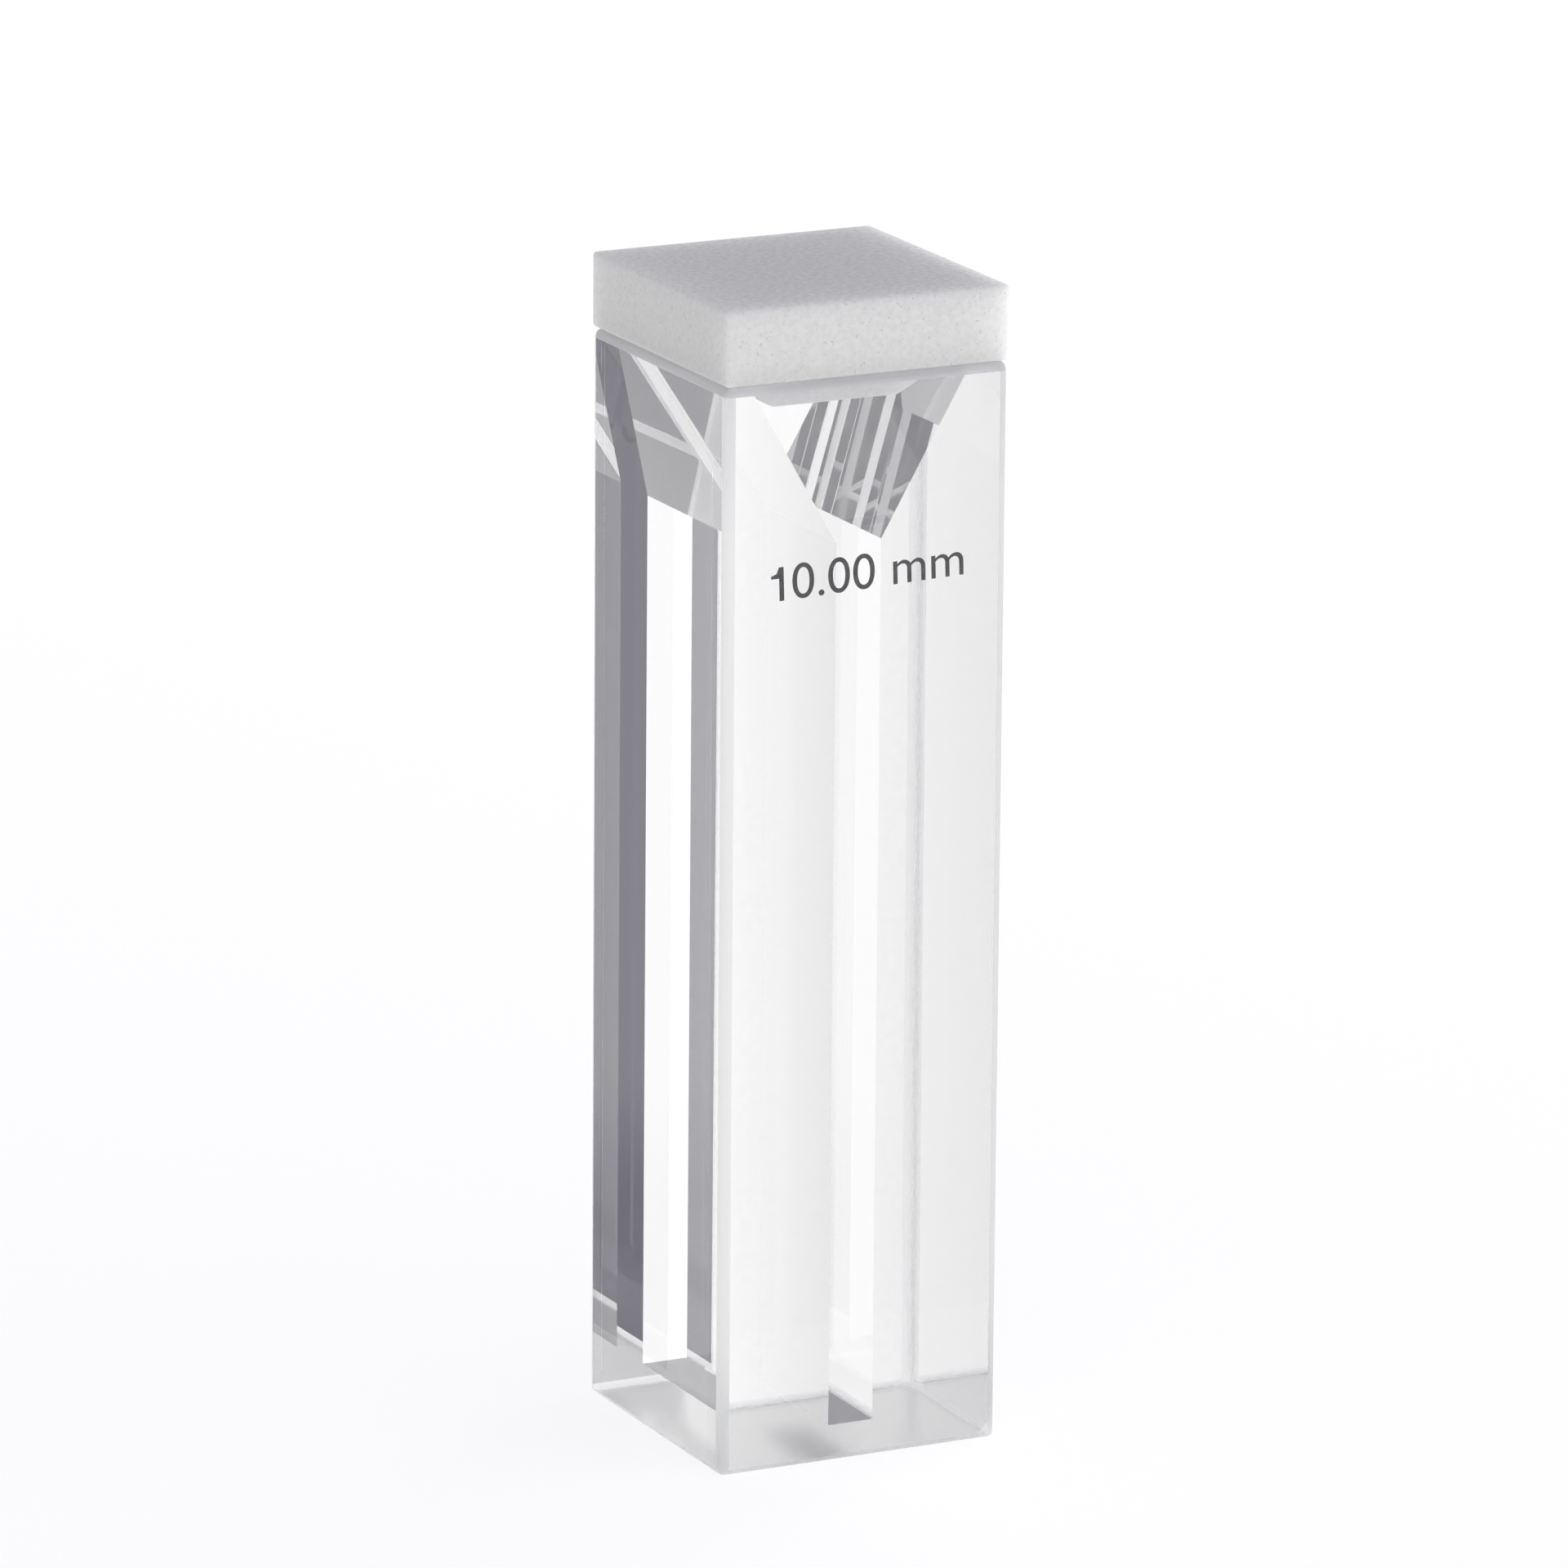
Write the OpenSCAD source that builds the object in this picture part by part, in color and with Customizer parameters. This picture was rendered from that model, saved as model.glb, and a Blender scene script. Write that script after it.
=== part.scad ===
// Narrow-slot cuvette: a square cell of clear quartz plates fused into one block, with a lid.
// The front and rear windows and the floor of the slot bound the sample. Two thick side
// blocks narrow the cell to a slot, and slope apart near the rim to make a filling funnel.
// The origin is the centre of the underside, +Z is up, and the front window faces -Y.

/* [Cell] */
// Outside width and outside depth of the square cell
cell_w = 12.5; // [12.4:0.1:16]
// Outside height of the cell, from its underside to the rim
cell_h = 45; // [30:0.5:60]
// Ground bevel on all the outer edges, measured along each face
edge_bevel = 0.4; // [0.1:0.05:0.8]

/* [Windows and base] */
// Thickness of the front and rear windows
window_t = 1.25; // [1:0.05:1.5]
// Thickness of the base plate under the slot
base_t = 1.25; // [1:0.05:3]

/* [Slot and funnel] */
// Width of the slot between the side blocks
slot_w = 2; // [1:0.1:6]
// Thickness left at the rim of each side block
rim_t = 1.25; // [1:0.05:1.3]
// Slope of the funnel's two sides, in degrees from upright
funnel_angle = 30; // [15:1:40]

/* [Lid] */
// Thickness of the lid plate, without its plug
lid_t = 3.1; // [2:0.1:5]
// Width of the lid's square plug where it leaves the plate
plug_root_w = 8.8; // [6:0.1:9]
// Width of the plug's square tip
plug_tip_w = 5.6; // [3:0.1:5.8]
// How far the plug reaches into the funnel
plug_h = 1.7; // [0.5:0.1:2]
// Bevel that softens all the edges of the lid plate
lid_bevel = 0.2; // [0.1:0.05:0.4]

/* [Hidden] */

// Light path: the distance between the inner faces of the two windows
path_l = cell_w - 2 * window_t;
half_w = cell_w / 2;
half_slot = slot_w / 2;
mouth_half = half_w - rim_t;
funnel_h = (mouth_half - half_slot) / tan(funnel_angle);
block_y = path_l / 2;

quartz = [0.84, 0.89, 0.93, 0.45];
quartz_side = [0.74, 0.80, 0.86, 0.55];
ptfe = [0.90, 0.90, 0.91];

// Rectangle centred on the origin with its four corners cut at 45 degrees
module bevelled_rect(w, h, bevel) {
    x = w / 2;
    y = h / 2;
    polygon([
        [-x + bevel, -y], [x - bevel, -y], [x, -y + bevel], [x, y - bevel],
        [x - bevel, y], [-x + bevel, y], [-x, y - bevel], [-x, -y + bevel],
    ]);
}

// Square block standing on z = 0, with all twelve edges bevelled
module bevelled_block(w, h, bevel) {
    intersection() {
        linear_extrude(h) bevelled_rect(w, w, bevel);
        translate([0, w / 2, h / 2]) rotate([90, 0, 0]) linear_extrude(w) bevelled_rect(w, h, bevel);
        translate([-w / 2, 0, h / 2]) rotate([90, 0, 90]) linear_extrude(w) bevelled_rect(w, h, bevel);
    }
}

// What remains of a plate once the outside of the fused cell is ground to size and bevelled
module ground_to_size() {
    intersection() {
        bevelled_block(cell_w, cell_h, edge_bevel);
        children();
    }
}

// Full-height polished plate, with its outer face on y = -half_w
module window() {
    ground_to_size() translate([-half_w, -half_w, 0]) cube([cell_w, window_t, cell_h]);
}

module front_window() {
    color(quartz) window();
}

module rear_window() {
    color(quartz) mirror([0, 1, 0]) window();
}

// Block that stands on the base between the windows, from the left outside to the slot,
// with its upper inner corner cut back to the rim as one side of the funnel
module side_block() {
    ground_to_size()
        translate([0, block_y, 0])
            rotate([90, 0, 0])
                linear_extrude(path_l)
                    polygon([
                        [-half_w, base_t],
                        [-half_slot, base_t],
                        [-half_slot, cell_h - funnel_h],
                        [-mouth_half, cell_h],
                        [-half_w, cell_h],
                    ]);
}

module left_side_block() {
    color(quartz_side) side_block();
}

module right_side_block() {
    color(quartz_side) mirror([1, 0, 0]) side_block();
}

// Floor of the slot, between the windows and under both side blocks
module base_plate() {
    color(quartz) ground_to_size() translate([-half_w, -block_y, 0]) cube([cell_w, path_l, base_t]);
}

// Square tapered plug under the lid plate, from the plate's underside at z = 0 down to its tip
module plug() {
    root = plug_root_w / 2;
    tip = plug_tip_w / 2;
    side = [[-root, 0], [-tip, -plug_h], [tip, -plug_h], [root, 0]];
    intersection() {
        translate([0, root, 0]) rotate([90, 0, 0]) linear_extrude(plug_root_w) polygon(side);
        translate([-root, 0, 0]) rotate([90, 0, 90]) linear_extrude(plug_root_w) polygon(side);
    }
}

// Loose lid: a plate as wide as the cell that rests on the rim, with its plug in the funnel
module lid() {
    color(ptfe) translate([0, 0, cell_h]) {
        bevelled_block(cell_w, lid_t, lid_bevel);
        plug();
    }
}

front_window();
rear_window();
left_side_block();
right_side_block();
base_plate();
lid();
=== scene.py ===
import math
import bmesh
import bpy
from mathutils import Matrix, Vector


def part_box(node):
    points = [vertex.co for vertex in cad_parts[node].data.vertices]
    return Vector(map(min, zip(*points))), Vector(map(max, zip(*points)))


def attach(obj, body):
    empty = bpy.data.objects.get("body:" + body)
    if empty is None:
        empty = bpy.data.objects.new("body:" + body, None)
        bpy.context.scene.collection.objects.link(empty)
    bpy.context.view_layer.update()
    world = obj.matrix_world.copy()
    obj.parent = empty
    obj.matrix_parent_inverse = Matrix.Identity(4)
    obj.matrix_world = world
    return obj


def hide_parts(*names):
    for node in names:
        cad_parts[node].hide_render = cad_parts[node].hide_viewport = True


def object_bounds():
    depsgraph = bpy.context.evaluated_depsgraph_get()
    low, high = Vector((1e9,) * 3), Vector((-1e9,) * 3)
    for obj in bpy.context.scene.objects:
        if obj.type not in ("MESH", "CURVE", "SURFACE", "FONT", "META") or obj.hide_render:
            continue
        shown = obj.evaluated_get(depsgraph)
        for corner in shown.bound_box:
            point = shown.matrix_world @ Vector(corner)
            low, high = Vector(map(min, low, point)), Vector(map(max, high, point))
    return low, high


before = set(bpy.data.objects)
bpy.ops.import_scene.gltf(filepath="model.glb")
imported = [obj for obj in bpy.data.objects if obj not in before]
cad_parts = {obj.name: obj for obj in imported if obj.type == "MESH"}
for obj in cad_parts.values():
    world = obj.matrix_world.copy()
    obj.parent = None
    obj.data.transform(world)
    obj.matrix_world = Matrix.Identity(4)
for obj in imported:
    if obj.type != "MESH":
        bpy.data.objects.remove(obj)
cadLow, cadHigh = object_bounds()

mm = 0.001
closeBy = 0.01 * mm            # places nearer than this count as one

# how far along an axis a face's normal points when the face looks that way, or squarely that way
mostly = 0.9
squarely = 0.999


def deselectAll():
    bpy.ops.object.select_all(action="DESELECT")


def addBlock(name, low, high):
    # a cube laid exactly between two corners, its object at the origin
    deselectAll()
    bpy.ops.mesh.primitive_cube_add(size=1, location=(low + high) / 2, scale=high - low)
    piece = bpy.context.object
    piece.name = name
    piece.data.name = name
    bpy.ops.object.transform_apply(location=True, rotation=True, scale=True)
    return piece


def startEdit(piece):
    bpy.context.view_layer.objects.active = piece
    bpy.ops.object.mode_set(mode="EDIT")
    bpy.ops.mesh.select_mode(type="FACE")
    bpy.ops.mesh.select_all(action="DESELECT")


def pick(piece, kind, test):
    # selects the faces or edges whose middle passes the test
    mesh = bmesh.from_edit_mesh(piece.data)
    bpy.ops.mesh.select_all(action="DESELECT")
    if kind == "FACE":
        for face in mesh.faces:
            face.select_set(test(face.calc_center_median(), face.normal))
    else:
        for edge in mesh.edges:
            middle = (edge.verts[0].co + edge.verts[1].co) / 2
            edge.select_set(test(middle, edge.verts[1].co - edge.verts[0].co))
    mesh.select_flush_mode()
    bmesh.update_edit_mesh(piece.data)


def endEdit():
    bpy.ops.object.mode_set(mode="OBJECT")


def near(place, other):
    return abs(place - other) < closeBy


def pointsOf(piece):
    return [vertex.co for vertex in piece.data.vertices]


def softenEdges(piece, width, segments):
    # rounds the weighted edges and leaves every face flat
    rounding = piece.modifiers.new("rounding", "BEVEL")
    rounding.limit_method = "WEIGHT"
    rounding.width = width
    rounding.segments = segments
    bpy.ops.object.modifier_apply(modifier="rounding")


def makeMaterial(name):
    material = bpy.data.materials.new(name)
    material.use_nodes = True
    nodes = material.node_tree.nodes
    return material, nodes, material.node_tree.links, nodes["Principled BSDF"]


def addMath(nodes, links, operation, *values):
    # a Math node whose inputs are sockets or numbers
    step = nodes.new("ShaderNodeMath")
    step.operation = operation
    for value, socket in zip(values, step.inputs):
        if isinstance(value, (int, float)):
            socket.default_value = value
        else:
            links.new(value, socket)
    return step.outputs["Value"]


def addRange(nodes, links, value, start, end):
    # 0 at the start value, 1 at the end value, held there outside them
    ramp = nodes.new("ShaderNodeMapRange")
    ramp.inputs["From Min"].default_value = start
    ramp.inputs["From Max"].default_value = end
    links.new(value, ramp.inputs["Value"])
    return ramp.outputs["Result"]


def addBlend(nodes, links, factor, first, second):
    # one colour turning into another; each is a plain colour or a socket
    mix = nodes.new("ShaderNodeMix")
    mix.data_type = "RGBA"
    links.new(factor, mix.inputs["Factor"])
    for colour, socket in ((first, mix.inputs["A"]), (second, mix.inputs["B"])):
        if isinstance(colour, tuple):
            socket.default_value = colour
        else:
            links.new(colour, socket)
    return mix.outputs["Result"]


def addSwitch(nodes, links, factor, first, second):
    # the first shader where the factor is 0, the second where it is 1
    switch = nodes.new("ShaderNodeMixShader")
    links.new(factor, switch.inputs[0])
    links.new(first, switch.inputs[1])
    links.new(second, switch.inputs[2])
    return switch.outputs[0]


def addNoise(nodes, links, where, scale, detail):
    noise = nodes.new("ShaderNodeTexNoise")
    noise.inputs["Scale"].default_value = scale
    noise.inputs["Detail"].default_value = detail
    links.new(where.outputs["Object"], noise.inputs["Vector"])
    return noise.outputs["Fac"]


cellLook = {
    "bevelSegments": 8,
    "bottomBevel": 0.6,        # the bottom's edges, as a share of the other outside bevels
    "mouthBevel": 0.25,        # the same for the mouth's inner edges
    "indexOfRefraction": 1.458,
    # each finish's tint, its roughness, and the share of light that it lets through; it scatters the rest
    "finishes": {
        "polishedQuartz": ((0.99, 0.989, 0.991, 1), 0, 1),
        "groundUnderside": ((0.97, 0.97, 0.98, 1), 0.3, 0.8),
        "groundBevels": ((0.93, 0.93, 0.94, 1), 0.85, 0.95),
        # painted shade: the slot's floor is tinted dark grey for the shaded floor under the cell that shows
        # through it
        "groundSlotFloorPaintedShade": ((0.28, 0.28, 0.30, 1), 0.38, 0.7),
        # painted shade: the rim is tinted grey-violet for the shadow between the seated lid and the cell
        "groundRimPaintedShade": ((0.70, 0.695, 0.72, 1), 0.38, 0.35),
    },
    "shadowTint": (0.90, 0.90, 0.92, 1),
}

# the quartz plates that the one cell stands for, and its sizes from them
allNodes = ("front_window", "rear_window", "left_side_block", "right_side_block", "base_plate")
cellLow = cadLow
cellHigh = Vector((cadHigh.x, cadHigh.y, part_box("front_window")[1].z))
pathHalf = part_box("rear_window")[0].y                                 # half the light path
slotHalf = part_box("right_side_block")[0].x
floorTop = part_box("base_plate")[1].z
blockPoints = pointsOf(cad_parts["right_side_block"])
blockAtRim = [point.x for point in blockPoints if near(point.z, cellHigh.z)]
slotTop = max(point.z for point in blockPoints if near(point.x, slotHalf))   # where the funnel starts
mouthHalf = min(blockAtRim)                                           # half the funnel's mouth
bevel = cellHigh.x - max(blockAtRim)
bevelReach = 1.1 * bevel                                              # a little past the bevels


def makeCell():
    cell = addBlock("cellBody", cellLow, cellHigh)
    startEdit(cell)
    pick(cell, "FACE", lambda middle, normal: normal.z > mostly)
    bpy.ops.mesh.inset(thickness=cellHigh.x - mouthHalf, use_even_offset=True)
    bpy.ops.transform.resize(value=(1, pathHalf / mouthHalf, 1))
    bpy.ops.mesh.extrude_region_move(TRANSFORM_OT_translate={"value": (0, 0, slotTop - cellHigh.z)})
    bpy.ops.transform.resize(value=(slotHalf / mouthHalf, 1, 1))
    bpy.ops.mesh.extrude_region_move(TRANSFORM_OT_translate={"value": (0, 0, floorTop - slotTop)})

    def outsideEdge(middle, along):
        planes = near(abs(middle.x), cellHigh.x) + near(abs(middle.y), cellHigh.y)
        return planes + (near(middle.z, cellLow.z) or near(middle.z, cellHigh.z)) == 2

    def mouthEdge(middle, along):
        atMouth = near(abs(middle.x), mouthHalf) or near(abs(middle.y), pathHalf)
        return atMouth and near(middle.z, cellHigh.z)

    pick(cell, "EDGE", outsideEdge)
    bpy.ops.transform.edge_bevelweight(value=1)
    pick(cell, "EDGE", lambda middle, along: outsideEdge(middle, along) and near(middle.z, cellLow.z))
    bpy.ops.transform.edge_bevelweight(value=cellLook["bottomBevel"] - 1)
    pick(cell, "EDGE", mouthEdge)
    bpy.ops.transform.edge_bevelweight(value=cellLook["mouthBevel"])
    endEdit()
    softenEdges(cell, bevel, cellLook["bevelSegments"])
    finishSurfaces(cell)
    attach(cell, "root")
    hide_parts(*allNodes)


def finishSurfaces(cell):
    # polished all over, then dulled on the underside, the bevels, the slot's floor and the rim; the slot's
    # floor and the rim are tinted grey as painted shade
    for name, (tint, roughness, clearShare) in cellLook["finishes"].items():
        cell.data.materials.append(quartzFinish(name, tint, roughness, clearShare))

    def isUnderside(middle, normal):
        return normal.z < -squarely

    def isBevel(middle, normal):
        # the outside bevels, and not the funnel's slopes
        atOutside = max(abs(middle.x), abs(middle.y)) > cellHigh.x - bevelReach
        return atOutside and max(abs(normal.x), abs(normal.y), abs(normal.z)) < squarely

    def isSlotFloor(middle, normal):
        return normal.z > mostly and near(middle.z, floorTop)

    def isRim(middle, normal):
        upward = normal.z > mostly or isBevel(middle, normal)
        return upward and middle.z > cellHigh.z - bevelReach

    startEdit(cell)
    # a later finish covers an earlier one, so the bevels along the rim are the rim's
    for name, test in (("groundUnderside", isUnderside), ("groundBevels", isBevel),
                       ("groundSlotFloorPaintedShade", isSlotFloor), ("groundRimPaintedShade", isRim)):
        pick(cell, "FACE", test)
        cell.active_material_index = cell.data.materials.find(name)
        bpy.ops.object.material_slot_assign()
    endEdit()


def quartzFinish(name, tint, roughness, clearShare):
    # clear where it is polished; where it is ground, the same quartz with a dull skin; the slot floor's and
    # the rim's grey tints are painted shade
    material, nodes, links, quartz = makeMaterial(name)
    quartz.inputs["Base Color"].default_value = tint
    quartz.inputs["Transmission Weight"].default_value = clearShare
    quartz.inputs["IOR"].default_value = cellLook["indexOfRefraction"]
    quartz.inputs["Roughness"].default_value = roughness
    # light on its way to the floor passes the quartz with a faint tint
    passing = nodes.new("ShaderNodeBsdfTransparent")
    passing.inputs["Color"].default_value = cellLook["shadowTint"]
    rays = nodes.new("ShaderNodeLightPath")
    both = addSwitch(nodes, links, rays.outputs["Is Shadow Ray"], quartz.outputs[0], passing.outputs[0])
    links.new(both, nodes["Material Output"].inputs["Surface"])
    return material


seamLook = {
    "thickness": 0.02 * mm,
    "haze": 0.018,             # share of the light that one side of a seam holds back
    "hazeDrift": 0.012,        # how far patches depart from that
    # what the front seam adds to it: (share of the cell's width, haze)
    "frontHaze": ((0, 0.002), (0.42, 0.10), (0.58, 0.055), (1, 0.10)),
    "hazeTone": (0.18, 0.18, 0.19, 1),
    "patchScale": 2600,
}


def makeSeams():
    # the faintly hazy planes where the windows are fused to the side blocks and the base
    seams = [makeSeam(side * pathHalf) for side in (-1, 1)]
    deselectAll()
    for seam in seams:
        seam.select_set(True)
    bpy.context.view_layer.objects.active = seams[0]
    bpy.ops.object.join()
    piece = seams[0]
    piece.name = "fusedSeams"
    piece.data.name = "fusedSeams"
    piece.data.materials.append(seamHaze())
    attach(piece, "root")


def makeSeam(depth):
    # a thin plate as wide and tall as a window, without the slot and the funnel
    half = seamLook["thickness"] / 2
    seam = addBlock("seam", Vector((cellLow.x, depth - half, cellLow.z)),
                    Vector((cellHigh.x, depth + half, cellHigh.z)))
    startEdit(seam)
    pick(seam, "EDGE", lambda middle, along: near(abs(middle.x), cellHigh.x) and near(along.z, 0))
    bpy.ops.mesh.bevel(offset=bevel, segments=1, affect="EDGES")
    # four cuts through the whole plate, around the slot and at the funnel's foot
    for place, direction in (((0, 0, floorTop), (0, 0, 1)), ((0, 0, slotTop), (0, 0, 1)),
                             ((-slotHalf, 0, 0), (1, 0, 0)), ((slotHalf, 0, 0), (1, 0, 0))):
        bpy.ops.mesh.select_all(action="SELECT")
        bpy.ops.mesh.bisect(plane_co=place, plane_no=direction)
    pick(seam, "FACE", lambda middle, normal: abs(middle.x) < slotHalf and middle.z > floorTop)
    bpy.ops.mesh.delete(type="FACE")

    def isSlotOutline(middle, along):
        atSide = near(abs(middle.x), slotHalf) and middle.z > floorTop
        atFloor = abs(middle.x) < slotHalf and near(middle.z, floorTop)
        return near(along.y, 0) and (atSide or atFloor)

    pick(seam, "EDGE", isSlotOutline)
    bpy.ops.mesh.bridge_edge_loops()
    pick(seam, "EDGE", lambda middle, along: near(middle.z, cellHigh.z) and near(abs(middle.x), slotHalf))
    bpy.ops.transform.resize(value=(mouthHalf / slotHalf, 1, 1))
    endEdit()
    return seam


def seamHaze():
    # patchy, and on the front seam it grows from left to right across each block
    material, nodes, links, haze = makeMaterial("seamHaze")
    where = nodes.new("ShaderNodeTexCoord")
    parts = nodes.new("ShaderNodeSeparateXYZ")
    links.new(where.outputs["Object"], parts.inputs["Vector"])
    width = cadHigh.x - cadLow.x
    across = addMath(nodes, links, "MULTIPLY_ADD", parts.outputs["X"], 1 / width, -cadLow.x / width)
    ramp = nodes.new("ShaderNodeValToRGB")
    links.new(across, ramp.inputs["Fac"])
    stops = ramp.color_ramp.elements
    stops.remove(stops[1])
    for place, added in seamLook["frontHaze"]:
        stop = stops[0] if place == 0 else stops.new(place)
        stop.color = (added, added, added, 1)
    front = addMath(nodes, links, "LESS_THAN", parts.outputs["Y"], 0)
    even = addMath(nodes, links, "MULTIPLY_ADD", ramp.outputs["Color"], front,
                   seamLook["haze"] - seamLook["hazeDrift"])
    patches = addNoise(nodes, links, where, seamLook["patchScale"], detail=2)
    amount = addMath(nodes, links, "MULTIPLY_ADD", patches, 2 * seamLook["hazeDrift"], even)
    links.new(amount, haze.inputs["Alpha"])
    haze.inputs["Base Color"].default_value = seamLook["hazeTone"]
    haze.inputs["Roughness"].default_value = 1
    haze.inputs["Specular IOR Level"].default_value = 0
    return material


lidLook = {
    "edge": 0.16 * mm,
    "edgeSegments": 4,
    "white": (0.86, 0.86, 0.862, 1),
    "cloud": (0.81, 0.81, 0.815, 1),
    "topCloudAndShade": (0.74, 0.735, 0.755, 1),   # the top is more mottled, and painted darker and bluer as shade from the dim light above
    "speck": (0.66, 0.66, 0.68, 1),
    "grainScale": 4200,        # grains about a quarter of a millimetre across
    "speckScale": 7600,
    # the noise values between which cloud turns to white, and white to speck
    "grainRange": (0.38, 0.62),
    "speckRange": (0.66, 0.76),
    "roughness": 0.62,
    "bump": 0.12,
    "bumpDepth": 0.05 * mm,
    "glowDepth": 2.6 * mm,     # how far light seeps through the plastic
}


def makeLid():
    low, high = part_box("lid")
    rim = cellHigh.z
    edgeFrom = 0.9 * high.x                # what lies farther out is the plate's edge
    points = pointsOf(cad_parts["lid"])
    tipHalf = max(point.x for point in points if near(point.z, low.z))
    rootHalf = max(point.x for point in points if near(point.z, rim) and point.x < edgeFrom)

    lid = addBlock("lidPlate", Vector((low.x, low.y, rim)), high)
    startEdit(lid)
    pick(lid, "FACE", lambda middle, normal: normal.z < -mostly)
    bpy.ops.mesh.inset(thickness=high.x - rootHalf, use_even_offset=True)
    bpy.ops.mesh.extrude_region_move(TRANSFORM_OT_translate={"value": (0, 0, low.z - rim)})
    bpy.ops.transform.resize(value=(tipHalf / rootHalf, tipHalf / rootHalf, 1))

    def softEdge(middle, along):
        # all but the plug's root
        return max(abs(middle.x), abs(middle.y)) > edgeFrom or middle.z < rim - closeBy

    pick(lid, "EDGE", softEdge)
    bpy.ops.transform.edge_bevelweight(value=1)
    endEdit()
    softenEdges(lid, lidLook["edge"], lidLook["edgeSegments"])
    lid.data.materials.append(lidFinish())
    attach(lid, "root")
    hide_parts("lid")


def lidFinish():
    # waxy white plastic: faint clouds, a few darker specks, light seeping through its edges, and a more
    # mottled top painted darker and bluer as shade
    material, nodes, links, wax = makeMaterial("matteWhite")
    where = nodes.new("ShaderNodeTexCoord")
    parts = nodes.new("ShaderNodeSeparateXYZ")
    links.new(where.outputs["Object"], parts.inputs["Vector"])
    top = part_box("lid")[1].z
    # the top face gets darker, bluer clouds: more mottling, and painted shade from the dim light above
    atTopCloudAndShade = addRange(nodes, links, parts.outputs["Z"], top - lidLook["edge"] / 2, top)
    cloud = addBlend(nodes, links, atTopCloudAndShade, lidLook["cloud"], lidLook["topCloudAndShade"])
    grain = addNoise(nodes, links, where, lidLook["grainScale"], detail=2)
    speck = addNoise(nodes, links, where, lidLook["speckScale"], detail=1)
    whiteShare = addRange(nodes, links, grain, *lidLook["grainRange"])
    cloudy = addBlend(nodes, links, whiteShare, cloud, lidLook["white"])
    speckShare = addRange(nodes, links, speck, *lidLook["speckRange"])
    specked = addBlend(nodes, links, speckShare, cloudy, lidLook["speck"])
    links.new(specked, wax.inputs["Base Color"])
    bump = nodes.new("ShaderNodeBump")
    bump.inputs["Strength"].default_value = lidLook["bump"]
    bump.inputs["Distance"].default_value = lidLook["bumpDepth"]
    links.new(grain, bump.inputs["Height"])
    links.new(bump.outputs["Normal"], wax.inputs["Normal"])
    wax.inputs["Roughness"].default_value = lidLook["roughness"]
    wax.inputs["Subsurface Weight"].default_value = 1
    wax.inputs["Subsurface Radius"].default_value = (1, 1, 1)
    wax.inputs["Subsurface Scale"].default_value = lidLook["glowDepth"]
    return material


markLook = {
    "digitHeight": 1.46 * mm,
    "baseline": 36.3 * mm,     # height over the underside
    "stroke": 0.205 * mm,
    "oneLeft": -3.87 * mm,     # left side of the 1's upright, from the middle of the window
    "oneHeight": 1.38 * mm,
    "flagReach": 0.35 * mm,    # how far the 1's flag reaches left of its upright
    # as shares of that reach: how deep the flag's root is, then how far each step goes left and drops
    "flagRoot": 1.3,
    "flagSteps": ((0.14, 0.35), (0.2, 0.4), (0.66, 0.22)),
    "restLeft": -3.29 * mm,    # the characters after the 1
    "restRight": 4.30 * mm,
    "thin": -0.002,            # takes a little off the font's strokes
    "tilt": 1.9,               # degrees that the print climbs to the right
    "film": 0.01 * mm,
    "ink": (0.080, 0.080, 0.085, 1),
    "fadedInk": (0.125, 0.125, 0.132, 1),
    "patchScale": 3500,
    "fadeRange": (0.35, 0.7),  # the noise values between which the ink fades
    "roughness": 0.6,
}


def makePathMark():
    face = cadLow.y
    one = makeOne(face)
    deselectAll()
    bpy.ops.object.text_add(location=(0, 0, 0))
    mark = bpy.context.object
    mark.name = "pathMark"
    mark.data.body = "0.00 mm"
    mark.data.offset = markLook["thin"]
    mark.data.extrude = 0.5                # one unit deep, which the scale below makes the film
    bpy.ops.object.convert(target="MESH")
    mark = bpy.context.object
    mark.data.name = "pathMark"
    across = [point.x for point in pointsOf(mark)]
    upward = [point.y for point in pointsOf(mark)]
    stretch = (markLook["restRight"] - markLook["restLeft"]) / (max(across) - min(across))
    mark.scale = (stretch, markLook["digitHeight"] / (max(upward) - min(upward)), markLook["film"])
    mark.rotation_euler = (math.radians(90), 0, 0)
    mark.location = (markLook["restLeft"] - min(across) * stretch, face, markLook["baseline"])
    bpy.ops.object.transform_apply(location=True, rotation=True, scale=True)
    one.select_set(True)
    bpy.ops.object.join()
    middle = Matrix.Translation(Vector((0, face, markLook["baseline"])))
    turn = Matrix.Rotation(-math.radians(markLook["tilt"]), 4, "Y")
    mark.matrix_world = middle @ turn @ middle.inverted()
    bpy.ops.object.transform_apply(location=True, rotation=True, scale=True)
    mark.data.materials.append(inkFinish())
    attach(mark, "root")


def makeOne(face):
    # an upright with a flag that curves out of its top to the left
    half = markLook["film"] / 2
    left, top = markLook["oneLeft"], markLook["baseline"] + markLook["oneHeight"]
    reach = markLook["flagReach"]
    root = top - markLook["flagRoot"] * reach
    one = addBlock("one", Vector((left, face - half, markLook["baseline"])),
                   Vector((left + markLook["stroke"], face + half, top)))
    startEdit(one)
    bpy.ops.mesh.select_all(action="SELECT")
    bpy.ops.mesh.bisect(plane_co=(left, face, root), plane_no=(0, 0, 1))
    for step, drop in markLook["flagSteps"]:
        pick(one, "FACE", lambda middle, normal: near(middle.x, left) and middle.z > root)
        bpy.ops.mesh.extrude_region_move(TRANSFORM_OT_translate={"value": (-step * reach, 0, 0)})
        left -= step * reach
        pick(one, "EDGE", lambda middle, along: near(middle.x, left) and near(middle.z, top))
        bpy.ops.transform.translate(value=(0, 0, -drop * reach))
        top -= drop * reach
    endEdit()
    return one


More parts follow.
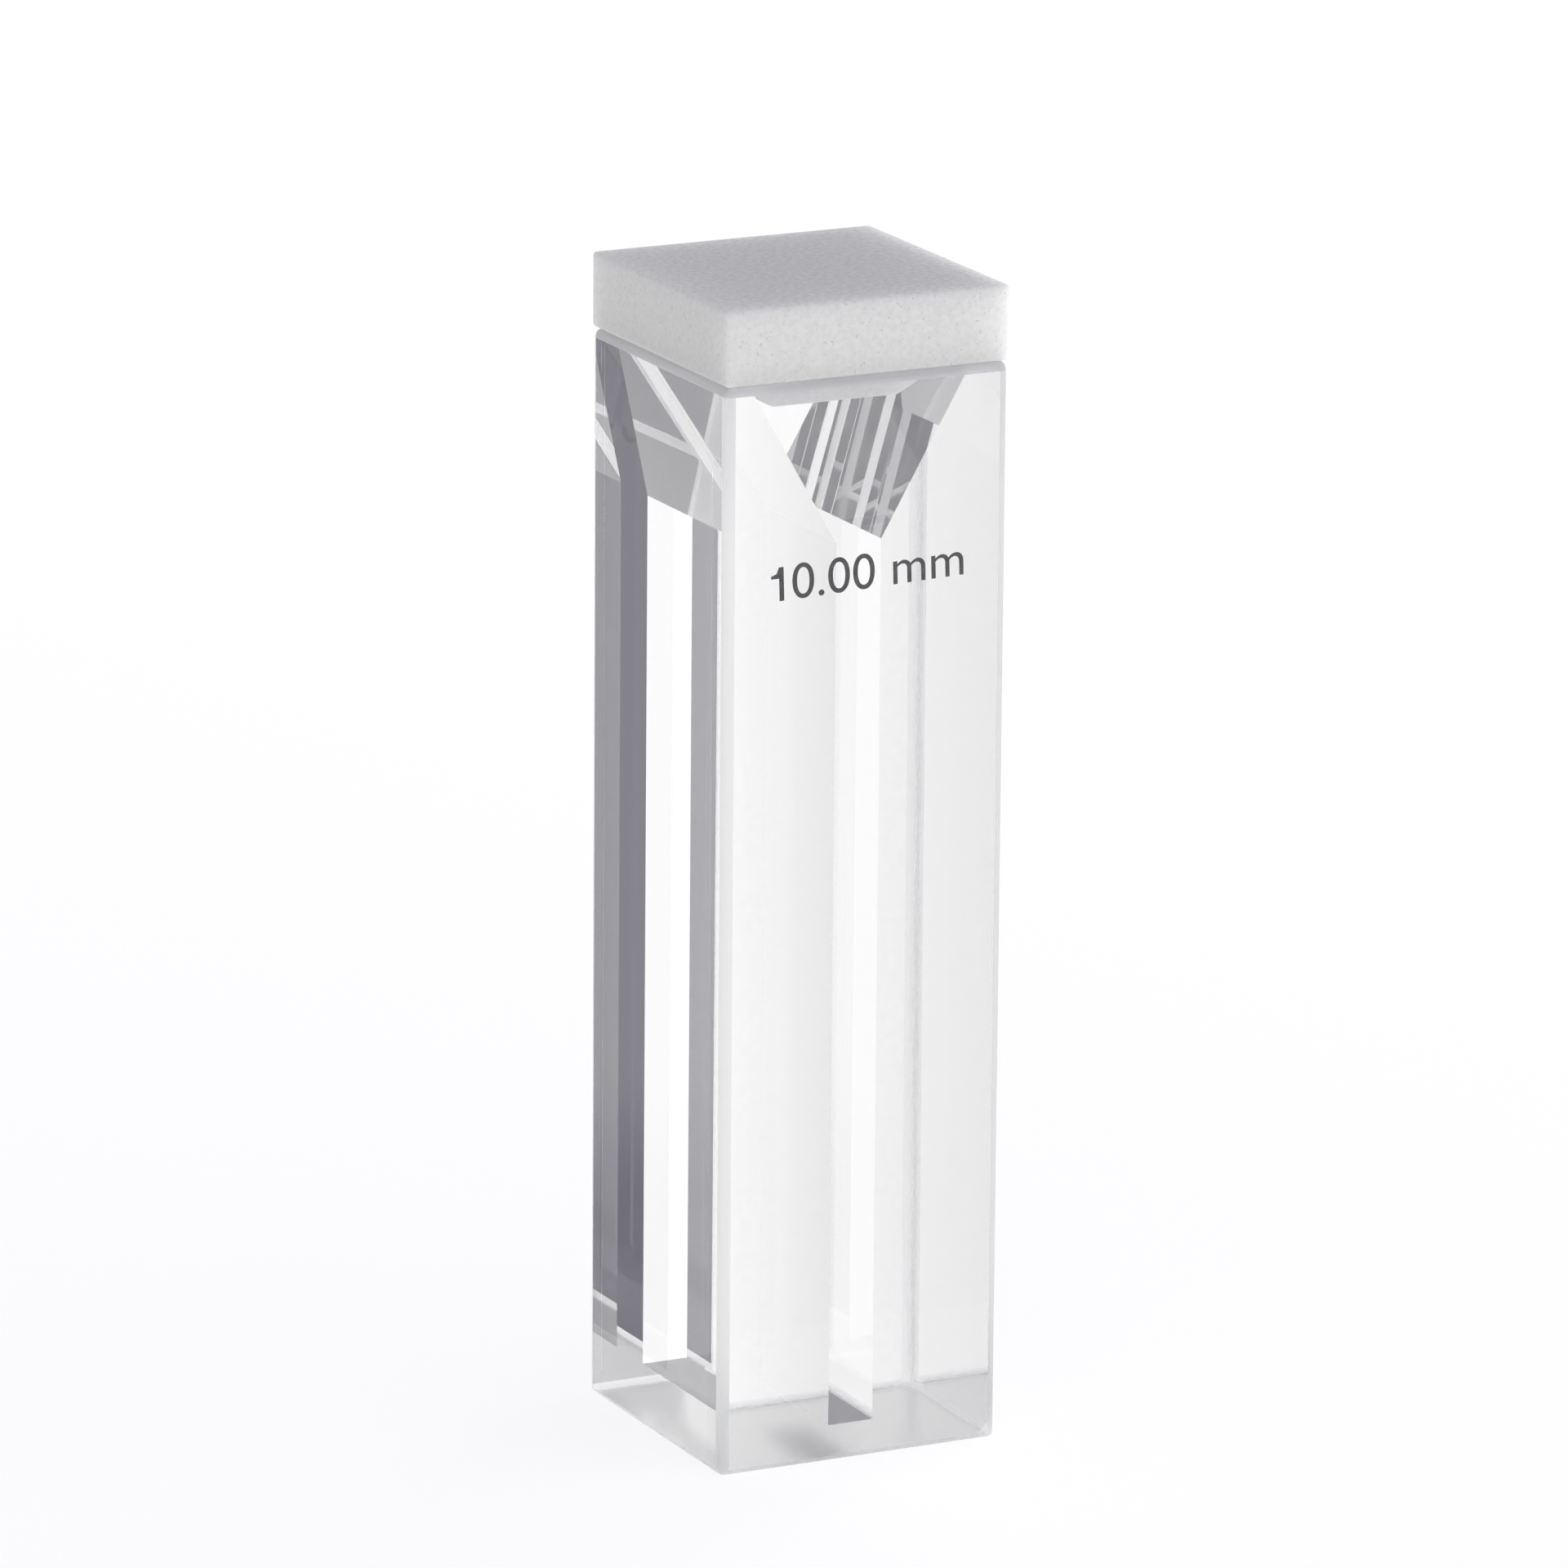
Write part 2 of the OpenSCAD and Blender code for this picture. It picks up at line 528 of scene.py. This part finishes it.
def inkFinish():
    # printed ink, a little uneven
    material, nodes, links, ink = makeMaterial("greyInk")
    where = nodes.new("ShaderNodeTexCoord")
    patches = addNoise(nodes, links, where, markLook["patchScale"], detail=3)
    fade = addRange(nodes, links, patches, *markLook["fadeRange"])
    links.new(addBlend(nodes, links, fade, markLook["ink"], markLook["fadedInk"]), ink.inputs["Base Color"])
    ink.inputs["Roughness"].default_value = markLook["roughness"]
    return material


stageLook = {
    "floorSize": 3,
    "floorTone": (0.8, 0.8, 0.8, 1),
    "floorGlow": 0.575,
    # the light that matte surfaces stand in: its level, and how it leans to the right, front and below
    "softLevel": 0.72,
    "softLean": (0.16, -0.15, -0.39),
    "skyBlue": 0.04,           # how much bluer it is straight from above
    # a lamp at the right that only matte surfaces see; its angles are as the panels' below
    "lampAzimuth": 25,
    "lampElevation": 4,
    "lampDistance": 0.6,
    "lampSize": 0.25,
    "lampPower": 1.25,
    # what shows in the quartz: a plain room, and panels that each cover those above them
    # name: (azimuth from the right, elevation, half width, half height, soft edge, brightness), in degrees
    "room": 0.85,
    "darkTint": (0.008, 0, 0.038),   # what black panels show: a little violet
    "panels": {
        "upper": (0, 48, 180, 42, 10, 0.15),
        "upperBack": (75, 24, 70, 20, 12, 1.1),
        "wall": (0, 3, 180, 9, 10, 0.75),
        "windowLeft": (-120, 7, 60, 14, 8, 1.2),
        "table": (0, -16, 180, 14, 8, 0.88),
        "backdrop": (85, -18, 65, 14, 6, 1.1),
        "cardLeft": (-115, -15, 7, 7, 5, 0.45),
        "cardLeftLow": (-115, -21.7, 7, 5, 0.8, 0.1),
        "cardFront": (-66, -15, 9, 7, 5, 0.06),
        "cardFrontLow": (-66, -21.7, 9, 5, 0.8, 0),
    },
}


def makeFloor():
    deselectAll()
    bpy.ops.mesh.primitive_plane_add(size=stageLook["floorSize"], location=(0, 0, cadLow.z))
    floor = bpy.context.object
    floor.name = "floor"
    material, _, _, paint = makeMaterial("paleFloor")
    paint.inputs["Base Color"].default_value = stageLook["floorTone"]
    paint.inputs["Roughness"].default_value = 1
    paint.inputs["Specular IOR Level"].default_value = 0
    paint.inputs["Emission Color"].default_value = (1, 1, 1, 1)
    paint.inputs["Emission Strength"].default_value = stageLook["floorGlow"]
    floor.data.materials.append(material)
    floor.visible_transmission = False
    floor.visible_glossy = False
    floor.visible_diffuse = False
    floor.visible_shadow = False


def addReach(nodes, links, angle, middle, half, soft):
    # 1 over a panel and 0 beyond it, turning softly at its edge
    turn = addMath(nodes, links, "SUBTRACT", angle, math.radians(middle))
    turn = addMath(nodes, links, "WRAP", turn, math.pi, -math.pi)
    turn = addMath(nodes, links, "ABSOLUTE", turn)
    edge = nodes.new("ShaderNodeMapRange")
    edge.interpolation_type = "SMOOTHSTEP"
    edge.inputs["From Min"].default_value = math.radians(half - soft / 2)
    edge.inputs["From Max"].default_value = math.radians(half + soft / 2)
    edge.inputs["To Min"].default_value = 1
    edge.inputs["To Max"].default_value = 0
    links.new(turn, edge.inputs["Value"])
    return edge.outputs["Result"]


def panelColour(nodes, links, parts):
    # the studio that shows in the quartz, each panel laid over those before it
    azimuth = addMath(nodes, links, "ARCTAN2", parts.outputs["Y"], parts.outputs["X"])
    elevation = addMath(nodes, links, "ARCSINE", parts.outputs["Z"])
    room = nodes.new("ShaderNodeValue")
    tone = room.outputs["Value"]
    tone.default_value = stageLook["room"]
    for across, upward, halfWidth, halfHeight, soft, brightness in stageLook["panels"].values():
        cover = addMath(nodes, links, "MULTIPLY",
                        addReach(nodes, links, azimuth, across, halfWidth, soft),
                        addReach(nodes, links, elevation, upward, halfHeight, soft))
        mix = nodes.new("ShaderNodeMix")
        mix.inputs["B"].default_value = brightness
        links.new(tone, mix.inputs["A"])
        links.new(cover, mix.inputs["Factor"])
        tone = mix.outputs["Result"]
    colour = nodes.new("ShaderNodeCombineColor")
    for channel, least in zip(colour.inputs, stageLook["darkTint"]):
        links.new(addMath(nodes, links, "MULTIPLY_ADD", tone, 1 - least, least), channel)
    return colour.outputs["Color"]


def softColour(nodes, links, where, parts):
    # the even light that matte surfaces stand in
    lean = nodes.new("ShaderNodeVectorMath")
    lean.operation = "DOT_PRODUCT"
    lean.inputs[1].default_value = stageLook["softLean"]
    links.new(where.outputs["Generated"], lean.inputs[0])
    tone = addMath(nodes, links, "ADD", lean.outputs["Value"], stageLook["softLevel"])
    blue = addMath(nodes, links, "MULTIPLY_ADD", parts.outputs["Z"], stageLook["skyBlue"], tone)
    colour = nodes.new("ShaderNodeCombineColor")
    for channel, value in zip(colour.inputs, (tone, tone, blue)):
        links.new(value, channel)
    return colour.outputs["Color"]


def addGlow(nodes, links, colour):
    glow = nodes.new("ShaderNodeBackground")
    links.new(colour, glow.inputs["Color"])
    return glow.outputs["Background"]


def makeSurround():
    # white for the camera, the studio's panels for the quartz, plain soft light for the rest
    world = bpy.data.worlds.new("studio")
    bpy.context.scene.world = world
    world.use_nodes = True
    nodes, links = world.node_tree.nodes, world.node_tree.links
    nodes.clear()
    where = nodes.new("ShaderNodeTexCoord")
    parts = nodes.new("ShaderNodeSeparateXYZ")
    links.new(where.outputs["Generated"], parts.inputs["Vector"])
    soft = addGlow(nodes, links, softColour(nodes, links, where, parts))
    panels = addGlow(nodes, links, panelColour(nodes, links, parts))
    white = nodes.new("ShaderNodeBackground")
    white.inputs["Color"].default_value = (1, 1, 1, 1)
    rays = nodes.new("ShaderNodeLightPath")
    quartzRays = addMath(nodes, links, "MAXIMUM", rays.outputs["Is Glossy Ray"],
                         rays.outputs["Is Transmission Ray"])
    lit = addSwitch(nodes, links, quartzRays, soft, panels)
    shown = addSwitch(nodes, links, rays.outputs["Is Camera Ray"], lit, white.outputs["Background"])
    output = nodes.new("ShaderNodeOutputWorld")
    links.new(shown, output.inputs["Surface"])


def makeLamp():
    across, upward = math.radians(stageLook["lampAzimuth"]), math.radians(stageLook["lampElevation"])
    towards = Vector((math.cos(across) * math.cos(upward), math.sin(across) * math.cos(upward),
                      math.sin(upward)))
    deselectAll()
    bpy.ops.object.light_add(type="AREA")
    lamp = bpy.context.object
    lamp.name = "softLamp"
    lamp.data.shape = "DISK"
    lamp.data.size = stageLook["lampSize"]
    lamp.data.energy = stageLook["lampPower"]
    lamp.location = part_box("lid")[0] + stageLook["lampDistance"] * towards
    lamp.rotation_euler = towards.to_track_quat("Z", "Y").to_euler()
    lamp.visible_camera = False
    lamp.visible_glossy = False
    lamp.visible_transmission = False


cameraLook = {
    "azimuth": -26.2,          # degrees round from the front, less than 0 at the left
    "elevation": 14.9,
    "roll": 0.45,
    "distance": 446 * mm,
    "aimRight": -0.45 * mm,    # from the middle of the cell
    "aimUp": 4.1 * mm,
    # in the camera's own millimetres
    "lens": 252.5,
    "sensor": 36,
    # what it sees, in metres from it
    "nearest": 0.01,
    "farthest": 20,
}


def makeCamera():
    across, upward = math.radians(cameraLook["azimuth"]), math.radians(cameraLook["elevation"])
    roll = math.radians(cameraLook["roll"])
    back = Vector((math.sin(across) * math.cos(upward), -math.cos(across) * math.cos(upward),
                   math.sin(upward)))
    level = Vector((math.cos(across), math.sin(across), 0))
    upright = back.cross(level)
    right = math.cos(roll) * level + math.sin(roll) * upright
    up = math.cos(roll) * upright - math.sin(roll) * level
    middle = Vector((0, 0, cellHigh.z / 2))
    aim = middle + cameraLook["aimRight"] * right + cameraLook["aimUp"] * up
    deselectAll()
    bpy.ops.object.camera_add()
    camera = bpy.context.object
    camera.name = "studioCamera"
    place = Matrix((right, up, back)).transposed().to_4x4()
    place.translation = aim + cameraLook["distance"] * back
    camera.matrix_world = place
    camera.data.sensor_width = cameraLook["sensor"]
    camera.data.lens = cameraLook["lens"]
    camera.data.clip_start = cameraLook["nearest"]
    camera.data.clip_end = cameraLook["farthest"]
    bpy.context.scene.camera = camera


makeFloor()
makeSurround()
makeLamp()
makeCamera()
print("stage, surround and camera ready")
makeCell()
makeSeams()
print("quartz cell fused from its plates")
makeLid()
print("lid seated")
makePathMark()
print("path length printed")

scene = bpy.context.scene
scene.view_settings.view_transform = "Standard"
bounces = 32                            # light turns many times inside the block
scene.cycles.max_bounces = bounces
scene.cycles.transmission_bounces = bounces
scene.cycles.glossy_bounces = bounces
scene.cycles.transparent_max_bounces = bounces
